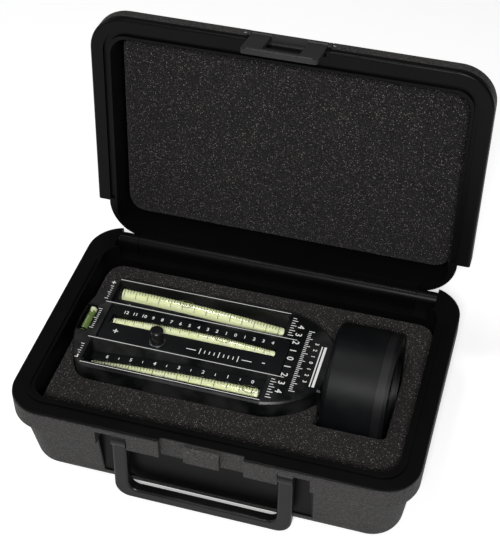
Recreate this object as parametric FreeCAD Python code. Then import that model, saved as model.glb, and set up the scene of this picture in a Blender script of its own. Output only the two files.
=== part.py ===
import FreeCAD, Part
import math
import os

# Camber caster gauge in its open carrying case.
# X runs along the case with the magnetic adapter at +X, +Y points to the hinge, +Z is up.
# The origin is the centre of the case's underside. All sizes are in millimetres.

V = FreeCAD.Vector
X_AXIS = V(1, 0, 0)
Y_AXIS = V(0, 1, 0)
Z_AXIS = V(0, 0, 1)

# Clearances
gap = 0.3
pin_clearance = 0.05
seat_clearance = 0.02
foam_clearance = 0.8
magnet_room = 2.4
lid_dent_clearance = 1.4

# Case, both halves
case_left_margin = 15.0
case_right_margin = 27.5
case_width = 160.0
case_corner_r = 22.0
rim_band = 12.5
inner_corner_r = 12.0
rim_edge_r = 1.6

# Case base
base_depth = 57.0
base_floor = 3.0
skirt_height = 15.0
skirt_step = 4.0
base_taper = 5.0
base_bottom_r = 9.0
back_wall = 17.3
bead_inset = 8.5
bead_width = 2.0
bead_height = 1.2
bead_end_y = 46.0

# Case lid, given closed and then swung open
lid_depth = 27.0
lid_top = 3.0
lid_skirt_height = 12.0
lid_skirt_step = 7.5
lid_taper = 1.5
lid_top_r = 7.0
lid_skirt_end_y = 48.5
lid_open_deg = 96.0
groove_slack = 0.5
groove_depth = 1.9

# Hinge
hinge_setback = 6.6
hinge_drop = 4.8
barrel_r = 4.6
barrel_half = 89.0
post_half = 102.0
hinge_ledge_drop = 12.0
hinge_pin_r = 1.5
hinge_pin_half = 100.5

# Latch
latch_half = 22.0
latch_pocket_half = 24.3
latch_pocket_depth = 3.5
latch_plate_t = 2.6
latch_face_inset = 0.9
latch_pivot_rise = 8.0
latch_barrel_r = 2.2
latch_pin_r = 1.0
latch_pin_grip = 2.6
latch_reach = 27.3
window_half = 10.7
window_top = 6.8
window_bottom = -14.3
boss_half = 10.2
boss_top = -2.5
boss_proud = 3.3
latch_rest_deg = 8.0

# Carrying handle
handle_inner_half = 43.5
handle_arm_w = 8.5
handle_t = 6.5
handle_eye_r = 4.4
handle_pivot_drop = 9.0
handle_pivot_inset = 3.5
handle_reach = 44.5
handle_bar_h = 7.0
handle_corner_r = 9.0
handle_edge_r = 1.6
handle_lean_deg = 4.2
handle_peg_r = 2.5
handle_peg = 6.0
handle_pocket_half = 61.5
handle_recess_inset = 7.0
handle_recess_low = 10.0
handle_slot_slack = 0.6

# Foam
foam_top_drop = 15.5
lid_foam_t = 5.2
pocket_floor_foam = 1.4

# Gauge housing
gauge_y = 4.0
face_drop = 6.0
body_t = 24.0
body_half_w = 37.5
body_left = -103.0
body_left_side = -90.0
shoulder_x = 20.0
shoulder_mid_x = 38.0
shoulder_mid_half = 30.5
neck_x = 49.0
neck_half = 20.0
body_end = 51.5
body_corner = 5.0
body_top_bevel = 1.0
body_bottom_bevel = 1.8
cover_recess = 1.8
cover_inset = 3.5

# Camber wells, beds and vials
well_left = -89.5
well_right = 19.5
well_inner = 16.0
well_outer = 34.0
well_depth = 17.5
bed_drop = 4.8
camber_arc_r = 860.0
camber_vial_v = 28.0
camber_vial_r = 4.75
camber_wall = 1.0
camber_sink = 0.6
camber_end_gap = 2.5

# Caster carrier
carrier_pocket_left = -88.0
carrier_pocket_right = 26.0
carrier_pocket_half = 14.2
carrier_end_gap = 0.8
carrier_side_gap = 0.5
carrier_face_drop = 1.0
carrier_plate_t = 3.0
carrier_keel_w = 8.8
carrier_keel_bottom = 9.8
carrier_pivot_x = 21.5
carrier_pivot_drop = 6.5
carrier_hub_r = 3.2
carrier_pin_r = 1.5
carrier_pin_grip = 7.0
caster_arc_r = 494.0
caster_vial_v = 3.5
caster_vial_r = 3.5
caster_wall = 0.8
caster_sink = 1.2
caster_left = -84.0
caster_right = 18.0

# Zero adjuster
adjuster_x = -51.0
adjuster_v = -8.0
knob_r = 4.2
knob_h = 9.0
knob_flutes = 18
flute_r = 0.35
knob_dome_r = 1.4
washer_r = 4.75
washer_t = 0.8
screw_r = 2.0
screw_tip_drop = 19.6
insert_r = 3.4
insert_proud = 2.0
insert_floor = 2.0
spring_r = 4.4
spring_wire_r = 0.35
spring_turns = 4

# Cross level at the far end
end_vial_x = -97.8
end_vial_v = -0.5
end_vial_half = 9.5
end_vial_r = 2.8
end_vial_wall = 0.7
end_vial_drop = 3.0
end_slot_depth = 7.0
end_slot_half_w = 3.5

# Vial ends and bubbles
vial_cap = 1.5
vial_plug = 2.5
vial_end_r = 1.2
fluid_clearance = 0.05
bubble_r = 1.9
bubble_lift = 0.2
rear_bubble_x = -45.0
rear_bubble_len = 7.0
front_bubble_x = 11.5
front_bubble_len = 9.0
caster_bubble_x = -14.0
caster_bubble_len = 10.0
end_bubble_v = 5.0
end_bubble_len = 5.0

# Screws
m3_r = 1.5
m3_head_r = 2.7
m3_head_h = 1.6
bed_screw_len = 6.0
bed_screw_left = -70.0
bed_screw_right = 0.0
cover_screw_x = (-78.0, 14.0)
cover_screw_v = 26.0
cover_screw_len = 4.5

# Magnetic adapter
axis_drop = 11.0
adapter_left = 53.5
adapter_r = 35.0
cup_length = 30.0
cup_floor = 8.0
cup_bore_r = 26.0
cup_round = 3.2
magnet_t = 5.0
magnet_inner_r = 24.0
magnet_inset = 0.6
pole_t = 2.0
collar_r = 15.0
stud_r = 5.0
stud_clearance = 0.08
stud_grip = 18.0
stud_washer_r = 10.0
stud_washer_t = 1.5
nut_flats = 16.0
nut_h = 7.0
stud_beyond_nut = 2.5
face_screws = 4
face_screw_circle = 29.5
face_screw_len = 9.0

# Planes and axes worked out from the sizes above
half_w = case_width / 2
rim_z = base_depth
seam_z = rim_z + gap
lid_z = rim_z + lid_depth
skirt_z = rim_z - skirt_height
hinge_y = half_w - hinge_setback
hinge_z = rim_z - hinge_drop
face_z = rim_z - face_drop
body_z = face_z - body_t
axis_z = face_z - axis_drop
foam_z = rim_z - foam_top_drop
well_z = face_z - well_depth
carrier_z = face_z - carrier_face_drop
pivot_z = face_z - carrier_pivot_drop
cup_end = adapter_left + cup_length
magnet_end = cup_end + magnet_t
adapter_right = magnet_end + pole_t
case_left = body_left - case_left_margin
case_right = adapter_right + case_right_margin


def box(x0, x1, y0, y1, z0, z1):
    return Part.makeBox(x1 - x0, y1 - y0, z1 - z0, V(x0, y0, z0))


def rod(x, y, z, axis, radius, length):
    return Part.makeCylinder(radius, length, V(x, y, z), axis)


def rounded_wire(x0, x1, y0, y1, r, z):
    d = r * (1 - math.sqrt(0.5))
    edges = [
        Part.makeLine(V(x0 + r, y0, z), V(x1 - r, y0, z)),
        Part.Arc(V(x1 - r, y0, z), V(x1 - d, y0 + d, z), V(x1, y0 + r, z)).toShape(),
        Part.makeLine(V(x1, y0 + r, z), V(x1, y1 - r, z)),
        Part.Arc(V(x1, y1 - r, z), V(x1 - d, y1 - d, z), V(x1 - r, y1, z)).toShape(),
        Part.makeLine(V(x1 - r, y1, z), V(x0 + r, y1, z)),
        Part.Arc(V(x0 + r, y1, z), V(x0 + d, y1 - d, z), V(x0, y1 - r, z)).toShape(),
        Part.makeLine(V(x0, y1 - r, z), V(x0, y0 + r, z)),
        Part.Arc(V(x0, y0 + r, z), V(x0 + d, y0 + d, z), V(x0 + r, y0, z)).toShape(),
    ]
    return Part.Wire(edges)


def rounded_block(x0, x1, y0, y1, r, z0, z1):
    return Part.Face(rounded_wire(x0, x1, y0, y1, r, z0)).extrude(V(0, 0, z1 - z0))


def case_block(inset, r, z0, z1):
    return rounded_block(case_left + inset, case_right - inset, inset - half_w, half_w - inset, r, z0, z1)


def tapered_block(lower, upper):
    """Ruled block between two rounded rectangles, each (x0, x1, y0, y1, r, z)."""
    return Part.makeLoft([rounded_wire(*lower), rounded_wire(*upper)], True, True)


def edges_at(shape, z, tolerance=0.01):
    found = []
    for edge in shape.Edges:
        box_z = edge.BoundBox
        if abs(box_z.ZMin - z) < tolerance and abs(box_z.ZMax - z) < tolerance:
            found.append(edge)
    return found


def round_level(shape, z, radius):
    """Round every edge that lies in the plane at height z."""
    return shape.makeFillet(radius, edges_at(shape, z))


def swung(shape, degrees, y, z):
    """The shape turned about the X-direction line through y and z."""
    turned = shape.copy()
    turned.rotate(V(0, y, z), X_AXIS, degrees)
    return turned


def lid_open(shape):
    return swung(shape, -lid_open_deg, hinge_y, hinge_z)


# Case base

def handle_slot(side):
    inner = handle_inner_half - gap
    y_back = handle_eye_r + handle_slot_slack - half_w + handle_pivot_inset
    top = rim_z - handle_pivot_drop + handle_eye_r + handle_slot_slack
    slot = box(inner, handle_pocket_half, -half_w - 1, y_back, handle_recess_low, top)
    return slot if side > 0 else slot.mirror(V(0, 0, 0), X_AXIS)


def handle_peg_hole(side):
    inner = handle_inner_half - handle_peg - gap
    y = handle_pivot_inset - half_w
    z = rim_z - handle_pivot_drop
    hole = rod(inner, y, z, X_AXIS, handle_peg_r + pin_clearance, handle_peg + 2 * gap)
    return hole if side > 0 else hole.mirror(V(0, 0, 0), X_AXIS)


def rim_bead():
    outer = case_block(bead_inset, case_corner_r - bead_inset, rim_z - 1, rim_z + bead_height)
    inner_inset = bead_inset + bead_width
    inner = case_block(inner_inset, case_corner_r - inner_inset, rim_z - 2, rim_z + bead_height + 1)
    ring = outer.cut(inner)
    return ring.cut(box(case_left, case_right, bead_end_y, half_w, rim_z - 2, rim_z + bead_height + 1))


def latch_boss():
    y_floor = latch_pocket_depth - half_w
    z_low = rim_z + window_bottom + (window_half - boss_half)
    boss = box(-boss_half, boss_half, y_floor - boss_proud, y_floor, z_low, rim_z + boss_top)
    top = [e for e in boss.Edges if e.BoundBox.ZMin > rim_z + boss_top - 0.01
           and e.BoundBox.YMax < y_floor - boss_proud + 0.01]
    return boss.makeChamfer(boss_proud * 0.6, top)


def make_base_shell():
    low_inset = base_taper + skirt_step
    lower = (case_left + low_inset, case_right - low_inset, low_inset - half_w, half_w - low_inset,
             case_corner_r - skirt_step, 0)
    upper = (case_left + skirt_step, case_right - skirt_step, skirt_step - half_w, half_w - skirt_step,
             case_corner_r - skirt_step, skirt_z + 1)
    body = round_level(tapered_block(lower, upper), 0, base_bottom_r)
    skirt = case_block(0, case_corner_r, skirt_z, rim_z)
    skirt = round_level(round_level(skirt, rim_z, rim_edge_r), skirt_z, rim_edge_r)
    shell = body.fuse(skirt)
    cavity = rounded_block(case_left + rim_band, case_right - rim_band, rim_band - half_w,
                           half_w - back_wall, inner_corner_r, base_floor, rim_z + 1)
    shell = shell.cut(cavity)
    hinge_room = box(-post_half, post_half, half_w - back_wall - 1, half_w + 1,
                     rim_z - hinge_ledge_drop, rim_z + 1)
    shell = shell.cut(hinge_room)
    for side in (1, -1):
        x0 = barrel_half + gap if side > 0 else -post_half - 1
        knuckle_len = post_half + 1 - barrel_half - gap
        knuckle = rod(x0, hinge_y, hinge_z, X_AXIS, barrel_r, knuckle_len)
        foot = box(x0, x0 + knuckle_len, hinge_y - barrel_r, hinge_y + barrel_r,
                   rim_z - hinge_ledge_drop - 1, hinge_z)
        shell = shell.fuse(knuckle.fuse(foot))
    bore = rod(-hinge_pin_half - gap, hinge_y, hinge_z, X_AXIS, hinge_pin_r + pin_clearance,
               2 * (hinge_pin_half + gap))
    shell = shell.cut(bore)
    latch_pocket = box(-latch_pocket_half, latch_pocket_half, -half_w - 1,
                       latch_pocket_depth - half_w, skirt_z - 1, rim_z + 1)
    recess = box(-handle_pocket_half, handle_pocket_half, -half_w - 1,
                 handle_recess_inset - half_w, handle_recess_low, skirt_z)
    shell = shell.cut(latch_pocket).cut(recess)
    for side in (1, -1):
        shell = shell.cut(handle_slot(side)).cut(handle_peg_hole(side))
    return shell.fuse([latch_boss(), rim_bead()]).removeSplitter()


def make_hinge_pin():
    pin = rod(-hinge_pin_half, hinge_y, hinge_z, X_AXIS, hinge_pin_r, 2 * hinge_pin_half)
    return pin.makeChamfer(0.4, [e for e in pin.Edges if len(e.Vertexes) == 1])


def make_handle():
    """Loop drawn hanging straight down from its pivot, then leaned outward."""
    outer = handle_inner_half + handle_arm_w
    y_mid = handle_pivot_inset - half_w
    z_pivot = rim_z - handle_pivot_drop
    z_low = z_pivot - handle_reach
    frame = rounded_block(-outer, outer, z_low, z_pivot + outer, handle_corner_r, 0, handle_t)
    inner = rounded_block(-handle_inner_half, handle_inner_half, z_low + handle_bar_h,
                          z_pivot + 2 * outer, handle_corner_r - handle_bar_h / 2, -1, handle_t + 1)
    frame = frame.cut(inner).cut(box(-outer - 1, outer + 1, z_pivot, z_pivot + 3 * outer, -1, handle_t + 1))
    long_edges = [e for e in frame.Edges
                  if e.BoundBox.ZLength < 0.01 and e.BoundBox.YMin < z_pivot - 0.01]
    frame = frame.makeFillet(handle_edge_r, long_edges)
    frame.rotate(V(0, 0, 0), X_AXIS, 90)
    frame.translate(V(0, y_mid + handle_t / 2, 0))
    for side in (1, -1):
        x0 = handle_inner_half if side > 0 else -outer
        eye = rod(x0, y_mid, z_pivot, X_AXIS, handle_eye_r, handle_arm_w)
        x1 = handle_inner_half - handle_peg if side > 0 else -handle_inner_half - 1
        peg = rod(x1, y_mid, z_pivot, X_AXIS, handle_peg_r, handle_peg + 1)
        frame = frame.fuse(eye.fuse(peg))
    return swung(frame.removeSplitter(), -handle_lean_deg, y_mid, z_pivot)


# Case lid

def make_lid_shell():
    back = hinge_y - gap
    inset = lid_skirt_step
    corner = case_corner_r + 2
    lower = (case_left + inset, case_right - inset, inset - half_w, back, corner, seam_z)
    inset_top = inset + lid_taper
    upper = (case_left + inset_top, case_right - inset_top, inset_top - half_w, back - lid_taper,
             corner, lid_z)
    body = round_level(tapered_block(lower, upper), lid_z, lid_top_r)
    skirt_top = seam_z + lid_skirt_height
    skirt = case_block(0, case_corner_r, seam_z, skirt_top)
    skirt = round_level(round_level(skirt, seam_z, rim_edge_r), skirt_top, rim_edge_r)
    skirt = skirt.cut(box(case_left - 1, case_right + 1, lid_skirt_end_y, half_w + 1,
                          seam_z - 1, skirt_top + 1))
    shell = body.fuse(skirt)
    web = box(-barrel_half, barrel_half, hinge_y - barrel_r, back, hinge_z, seam_z + 2)
    barrel = rod(-barrel_half, hinge_y, hinge_z, X_AXIS, barrel_r, 2 * barrel_half)
    shell = shell.fuse(web.fuse(barrel))
    cavity = case_block(rim_band, inner_corner_r, seam_z - 1, lid_z - lid_top)
    shell = shell.cut(cavity)
    g0 = bead_inset - groove_slack
    g1 = bead_inset + bead_width + groove_slack
    groove = case_block(g0, case_corner_r - g0, seam_z - 1, seam_z + groove_depth)
    groove = groove.cut(case_block(g1, case_corner_r - g1, seam_z - 2, seam_z + groove_depth + 1))
    past_bead = bead_end_y + 2 * groove_slack
    groove = groove.cut(box(case_left, case_right, past_bead, half_w, seam_z - 2,
                            seam_z + groove_depth + 1))
    pocket = box(-latch_pocket_half, latch_pocket_half, -half_w - 1,
                 latch_pocket_depth - half_w, seam_z - 1, skirt_top + 1)
    bore = rod(-barrel_half - 1, hinge_y, hinge_z, X_AXIS, hinge_pin_r + pin_clearance, 2 * barrel_half + 2)
    y_latch, z_latch = latch_pivot()
    latch_bore_half = latch_pocket_half + latch_pin_grip + gap
    latch_bore = rod(-latch_bore_half, y_latch, z_latch, X_AXIS, latch_pin_r + pin_clearance,
                     2 * latch_bore_half)
    shell = shell.cut(groove).cut(pocket).cut(bore).cut(latch_bore)
    return shell.removeSplitter()


def latch_pivot():
    y = latch_face_inset - half_w
    return y, rim_z + latch_pivot_rise


def make_latch_pin():
    y, z = latch_pivot()
    pin_half = latch_pocket_half + latch_pin_grip
    return rod(-pin_half, y, z, X_AXIS, latch_pin_r, 2 * pin_half)


def make_latch_plate():
    y, z = latch_pivot()
    y0 = y - latch_plate_t / 2
    y1 = y + latch_plate_t / 2
    plate = box(-latch_half, latch_half, y0, y1, z - latch_reach, z)
    corners = [e for e in plate.Edges
               if e.BoundBox.YLength > 1 and e.BoundBox.ZMax < z - latch_reach + 0.1]
    plate = plate.makeFillet(2.5, corners)
    lip = rod(-latch_half + 3, y0 + 0.4, z - latch_reach + 1.6, X_AXIS, 1.2, 2 * latch_half - 6)
    barrel = rod(-latch_half, y, z, X_AXIS, latch_barrel_r, 2 * latch_half)
    plate = plate.fuse([lip, barrel])
    window = box(-window_half, window_half, y0 - 2, y1 + 2, rim_z + window_bottom, rim_z + window_top)
    window_corners = [e for e in window.Edges if e.BoundBox.YLength > 1]
    plate = plate.cut(window.makeFillet(1.0, window_corners))
    plate = plate.cut(rod(-latch_half - 1, y, z, X_AXIS, latch_pin_r + pin_clearance, 2 * latch_half + 2))
    return swung(plate.removeSplitter(), -latch_rest_deg, y, z)


# Foam

def make_base_foam():
    foam = rounded_block(case_left + rim_band + gap, case_right - rim_band - gap, rim_band + gap - half_w,
                         half_w - back_wall - gap, inner_corner_r - gap, base_floor + gap, foam_z)
    gauge_room = Part.Face(gauge_outline(foam_clearance, body_z - gap)).extrude(V(0, 0, body_t + 10))
    cup_low = axis_z - adapter_r - gap
    cup_half = adapter_r + foam_clearance
    cup_room = box(body_end - foam_clearance, adapter_right + magnet_room, gauge_y - cup_half,
                   gauge_y + cup_half, max(cup_low, base_floor + pocket_floor_foam), foam_z + 1)
    return foam.cut(gauge_room).cut(cup_room).removeSplitter()


def make_lid_foam():
    z1 = lid_z - lid_top - gap
    z0 = z1 - lid_foam_t
    inset = rim_band + gap
    foam = case_block(inset, inner_corner_r - gap, z0, z1)
    dent = rod(adapter_left - 1, gauge_y, axis_z, X_AXIS, adapter_r + lid_dent_clearance,
               adapter_right - adapter_left + 2)
    return foam.cut(dent).removeSplitter()


# Gauge housing

def gauge_outline(grow, z):
    """Plan of the gauge housing: arched far end, straight sides, bottle shoulders, neck."""
    w = body_half_w + grow
    n = neck_half + grow
    c = body_corner
    x_side = body_left_side
    x_end = body_end + grow
    y0 = gauge_y
    near = []
    for s in (-1, 1):
        corner = Part.Arc(V(x_side - c * 0.8, y0 + s * (w - c), z), V(x_side, y0 + s * (w - c * 0.3), z),
                          V(x_side + c, y0 + s * w, z))
        shoulder = Part.Arc(V(shoulder_x, y0 + s * w, z),
                            V(shoulder_mid_x, y0 + s * (shoulder_mid_half + grow), z),
                            V(neck_x, y0 + s * n, z))
        near += [
            corner.toShape(),
            Part.makeLine(V(x_side + c, y0 + s * w, z), V(shoulder_x, y0 + s * w, z)),
            shoulder.toShape(),
            Part.makeLine(V(neck_x, y0 + s * n, z), V(x_end, y0 + s * n, z)),
        ]
    arch = Part.Arc(V(x_side - c * 0.8, y0 - w + c, z), V(body_left - grow, y0, z),
                    V(x_side - c * 0.8, y0 + w - c, z))
    end = Part.makeLine(V(x_end, y0 - n, z), V(x_end, y0 + n, z))
    return Part.Wire(near[:4] + [end] + near[:3:-1] + [arch.toShape()])


def gauge_block():
    """The housing before its wells are cut, bevelled round its face and its underside."""
    layers = [
        gauge_outline(-body_bottom_bevel, body_z),
        gauge_outline(0, body_z + body_bottom_bevel),
        gauge_outline(0, face_z - body_top_bevel),
        gauge_outline(-body_top_bevel, face_z),
    ]
    return Part.makeLoft(layers, True, True)


def camber_well(side):
    y = sorted((gauge_y + side * well_inner, gauge_y + side * well_outer))
    return rounded_block(well_left, well_right, y[0], y[1], 1.5, well_z, face_z + 1)


def bed_screw_places():
    v = (well_inner + camber_vial_v - camber_vial_r) / 2
    return [(x, gauge_y + side * v) for side in (1, -1) for x in (bed_screw_left, bed_screw_right)]


def cover_screw_places():
    return [(x, gauge_y + side * cover_screw_v) for side in (1, -1) for x in cover_screw_x]


def make_gauge_body():
    body = gauge_block().cut(camber_well(1)).cut(camber_well(-1))
    pocket = rounded_block(carrier_pocket_left, carrier_pocket_right, gauge_y - carrier_pocket_half,
                           gauge_y + carrier_pocket_half, 1.5, well_z, face_z + 1)
    end_slot = rounded_block(end_vial_x - end_slot_half_w, end_vial_x + end_slot_half_w,
                             gauge_y + end_vial_v - end_vial_half - 1, gauge_y + end_vial_v + end_vial_half + 1,
                             1.0, face_z - end_slot_depth, face_z + 1)
    cover_room = Part.Face(gauge_outline(-cover_inset, body_z - 1)).extrude(V(0, 0, cover_recess + 1))
    body = body.cut(pocket).cut(end_slot).cut(cover_room)
    ax, ay = adjuster_x, gauge_y + adjuster_v
    tip_room = rod(ax, ay, body_z, Z_AXIS, screw_r + gap, well_z - body_z)
    insert_hole = rod(ax, ay, body_z + cover_recess + insert_floor, Z_AXIS, insert_r + seat_clearance,
                      well_z - body_z)
    pin_hole = rod(carrier_pivot_x, gauge_y - pin_span(), pivot_z, Y_AXIS,
                   carrier_pin_r + pin_clearance, 2 * pin_span())
    stud_hole = rod(body_end - stud_grip - gap, gauge_y, axis_z, X_AXIS, stud_r + seat_clearance,
                    stud_grip + gap + 1)
    body = body.cut(tip_room).cut(insert_hole).cut(pin_hole).cut(stud_hole)
    for x, y in bed_screw_places():
        body = body.cut(rod(x, y, body_z, Z_AXIS, m3_r + pin_clearance, well_z - body_z + 1))
        head = rod(x, y, body_z, Z_AXIS, m3_head_r + pin_clearance, cover_recess + m3_head_h + gap)
        body = body.cut(head)
    for x, y in cover_screw_places():
        body = body.cut(rod(x, y, body_z, Z_AXIS, m3_r + pin_clearance, cover_screw_len + gap))
    return body.removeSplitter()


def pin_span():
    return carrier_pocket_half + carrier_pin_grip


def make_base_cover():
    z0 = body_z
    cover = Part.Face(gauge_outline(-cover_inset - 0.2, z0)).extrude(V(0, 0, cover_recess))
    for x, y in cover_screw_places():
        cover = cover.cut(Part.makeCone(m3_head_r + pin_clearance, m3_r + pin_clearance,
                                        m3_head_h, V(x, y, z0)))
        cover = cover.cut(rod(x, y, z0, Z_AXIS, m3_r + pin_clearance, cover_recess + 1))
    return cover


def make_cover_screws():
    screws = []
    for x, y in cover_screw_places():
        head = Part.makeCone(m3_head_r, m3_r, m3_head_h, V(x, y, body_z))
        screws.append(head.fuse(rod(x, y, body_z, Z_AXIS, m3_r, cover_screw_len)).removeSplitter())
    return Part.makeCompound(screws)


def make_bed_screws():
    z0 = body_z + cover_recess
    screws = []
    for x, y in bed_screw_places():
        head = rod(x, y, z0, Z_AXIS, m3_head_r, m3_head_h)
        tip = rod(x, y, z0, Z_AXIS, m3_r, bed_screw_len)
        screws.append(head.fuse(tip).removeSplitter())
    return Part.makeCompound(screws)


# Curved vials

def arc_sweep(profile_points, centre_x, centre_z, y, crown_r, x0, x1):
    """Turn a face about the Y-direction line below the crown, from x0 to x1.

    The profile is given as (across, up) points about the vial's axis at the crown, or as a radius.
    """
    a0 = math.asin((x0 - centre_x) / crown_r)
    a1 = math.asin((x1 - centre_x) / crown_r)
    if isinstance(profile_points, float):
        edge = Part.makeCircle(profile_points, V(centre_x, y, centre_z), X_AXIS)
        wire = Part.Wire([edge])
    else:
        corners = [V(centre_x, y + p[0], centre_z + p[1]) for p in profile_points]
        wire = Part.makePolygon(corners + corners[:1])
    face = Part.Face(wire)
    foot = V(centre_x, y, centre_z - crown_r)
    face.rotate(foot, Y_AXIS, math.degrees(a0))
    return face.revolve(foot, Y_AXIS, math.degrees(a1 - a0))


class Vial:
    """A clear tube on an arc: sealed at its x0 end, plugged at its x1 end."""

    def __init__(self, crown_x, crown_z, y, crown_r, r, wall, x0, x1):
        self.place = (crown_x, crown_z, y, crown_r)
        self.r = r
        self.bore = r - wall
        self.x0 = x0
        self.x1 = x1

    def sweep(self, profile, x0, x1):
        crown_x, crown_z, y, crown_r = self.place
        return arc_sweep(profile, crown_x, crown_z, y, crown_r, x0, x1)

    def tube(self):
        body = self.sweep(float(self.r), self.x0, self.x1)
        ends = [e for e in body.Edges if len(e.Vertexes) == 1 and e.BoundBox.XLength < self.r]
        body = body.makeFillet(vial_end_r * 0.6, ends)
        return body.cut(self.sweep(float(self.bore), self.x0 + vial_cap, self.x1 + 1))

    def plug(self):
        r = float(self.bore - seat_clearance)
        return self.sweep(r, self.x1 - vial_plug, self.x1 - 0.2)

    def fluid(self, bubble_x, bubble_len):
        r = float(self.bore - fluid_clearance)
        liquid = self.sweep(r, self.x0 + vial_cap + fluid_clearance, self.x1 - vial_plug - fluid_clearance)
        return liquid.cut(self.bubble(bubble_x, bubble_len))

    def bubble(self, x, length):
        crown_x, crown_z, y, crown_r = self.place
        angle = math.asin((x - crown_x) / crown_r)
        up = self.bore - bubble_r + bubble_lift
        bubble = rod(x - length / 2 + bubble_r, y, 0, X_AXIS, bubble_r, length - 2 * bubble_r)
        for sx in (-1, 1):
            end = V(x + sx * (length / 2 - bubble_r), y, 0)
            bubble = bubble.fuse(Part.makeSphere(bubble_r, end))
        bubble.translate(V(0, 0, crown_z - crown_r * (1 - math.cos(angle)) + up))
        bubble.rotate(V(x, y, bubble.BoundBox.Center.z), Y_AXIS, math.degrees(angle))
        return bubble.removeSplitter()

    def groove(self, slack, top):
        """Cutter for the seat: half round below the axis, open upward to the given height."""
        r = self.r + slack
        x0 = self.x0 - slack
        x1 = self.x1 + slack
        slot = self.sweep([(-r, 0), (r, 0), (r, top), (-r, top)], x0, x1)
        return self.sweep(float(r), x0, x1).fuse(slot)


def camber_vial(side):
    """Rear vial, side +1, is high at the far end. Front vial, side -1, is high at the neck end."""
    x0 = well_left + camber_end_gap
    x1 = well_right - camber_end_gap
    crown_x = x0 if side > 0 else x1
    z = face_z - bed_drop - camber_sink
    y = gauge_y + side * camber_vial_v
    return Vial(crown_x, z, y, camber_arc_r, camber_vial_r, camber_wall, x0, x1)


def make_camber_bed(side):
    vial = camber_vial(side)
    crown_x, crown_z, y, crown_r = vial.place
    inner = gauge_y + side * (well_inner + gap)
    outer = gauge_y + side * (well_outer - gap)
    y0, y1 = sorted((inner, outer))
    x0 = well_left + gap
    x1 = well_right - gap
    bed = rounded_block(x0, x1, y0, y1, 1.2, well_z, face_z)
    over = [(-1.5 * well_outer, camber_sink), (1.5 * well_outer, camber_sink),
            (1.5 * well_outer, well_depth), (-1.5 * well_outer, well_depth)]
    bed = bed.cut(arc_sweep(over, crown_x, crown_z, y, crown_r, x0 - 1, x1 + 1))
    bed = bed.cut(vial.groove(pin_clearance, well_depth))
    for x, ys in bed_screw_places():
        if (ys - gauge_y) * side > 0:
            depth = bed_screw_len + body_z + cover_recess - well_z + gap
            bed = bed.cut(rod(x, ys, well_z - 1, Z_AXIS, m3_r + seat_clearance, 1 + depth))
    return bed


def end_vial():
    y0 = gauge_y + end_vial_v - end_vial_half
    y1 = gauge_y + end_vial_v + end_vial_half
    return y0, y1, face_z - end_vial_drop


def make_end_tube():
    y0, y1, z = end_vial()
    tube = rod(end_vial_x, y0, z, Y_AXIS, end_vial_r, y1 - y0)
    tube = tube.makeFillet(vial_end_r * 0.5, [e for e in tube.Edges if len(e.Vertexes) == 1])
    return tube.cut(rod(end_vial_x, y0 + vial_cap, z, Y_AXIS, end_vial_r - end_vial_wall, y1 - y0))


def make_end_plug():
    y0, y1, z = end_vial()
    r = end_vial_r - end_vial_wall - seat_clearance
    return rod(end_vial_x, y1 - vial_plug, z, Y_AXIS, r, vial_plug - 0.2)


def make_end_fluid():
    y0, y1, z = end_vial()
    r = end_vial_r - end_vial_wall - fluid_clearance
    start = y0 + vial_cap + fluid_clearance
    liquid = rod(end_vial_x, start, z, Y_AXIS, r, y1 - vial_plug - fluid_clearance - start)
    br = bubble_r * 0.6
    by = gauge_y + end_vial_v + end_bubble_v - end_bubble_len / 2
    bubble = rod(end_vial_x, by, z + r - br + bubble_lift, Y_AXIS, br, end_bubble_len)
    return liquid.cut(bubble)


def make_end_holder():
    y0, y1, z = end_vial()
    w = end_slot_half_w - gap
    holder = rounded_block(end_vial_x - w, end_vial_x + w, y0 - 1 + gap, y1 + 1 - gap, 0.7,
                           face_z - end_slot_depth, z)
    return holder.cut(rod(end_vial_x, y0 - 0.1, z, Y_AXIS, end_vial_r + pin_clearance, y1 - y0 + 0.2))


# Caster carrier and its adjuster

def caster_vial():
    crown_x = (caster_left + caster_right) / 2
    z = carrier_z - caster_sink
    y = gauge_y + caster_vial_v
    return Vial(crown_x, z, y, caster_arc_r, caster_vial_r, caster_wall, caster_left, caster_right)


def make_caster_carrier():
    x0 = carrier_pocket_left + carrier_end_gap
    x1 = carrier_pocket_right - carrier_end_gap
    half = carrier_pocket_half - carrier_side_gap
    plate = rounded_block(x0, x1, gauge_y - half, gauge_y + half, 3.0, carrier_z - carrier_plate_t, carrier_z)
    keel_y = gauge_y + caster_vial_v
    keel = box(x0, x1, keel_y - carrier_keel_w / 2, keel_y + carrier_keel_w / 2,
               face_z - carrier_keel_bottom, carrier_z - 1)
    keel = keel.common(rounded_block(x0, x1, gauge_y - half, gauge_y + half, 3.0, body_z, carrier_z))
    hub = rod(carrier_pivot_x, gauge_y - half, pivot_z, Y_AXIS, carrier_hub_r, 2 * half)
    carrier = plate.fuse([keel, hub])
    carrier = carrier.cut(caster_vial().groove(pin_clearance, 2 * caster_vial_r))
    carrier = carrier.cut(rod(carrier_pivot_x, gauge_y - half - 1, pivot_z, Y_AXIS,
                              carrier_pin_r + pin_clearance, 2 * half + 2))
    hole = rod(adjuster_x, gauge_y + adjuster_v, carrier_z - carrier_plate_t - 1, Z_AXIS,
               screw_r + 2 * gap, carrier_plate_t + 2)
    return carrier.cut(hole).removeSplitter()


def make_carrier_pin():
    span = pin_span() - gap
    return rod(carrier_pivot_x, gauge_y - span, pivot_z, Y_AXIS, carrier_pin_r, 2 * span)


def knob_base_z():
    return carrier_z + gap + washer_t + gap


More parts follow.
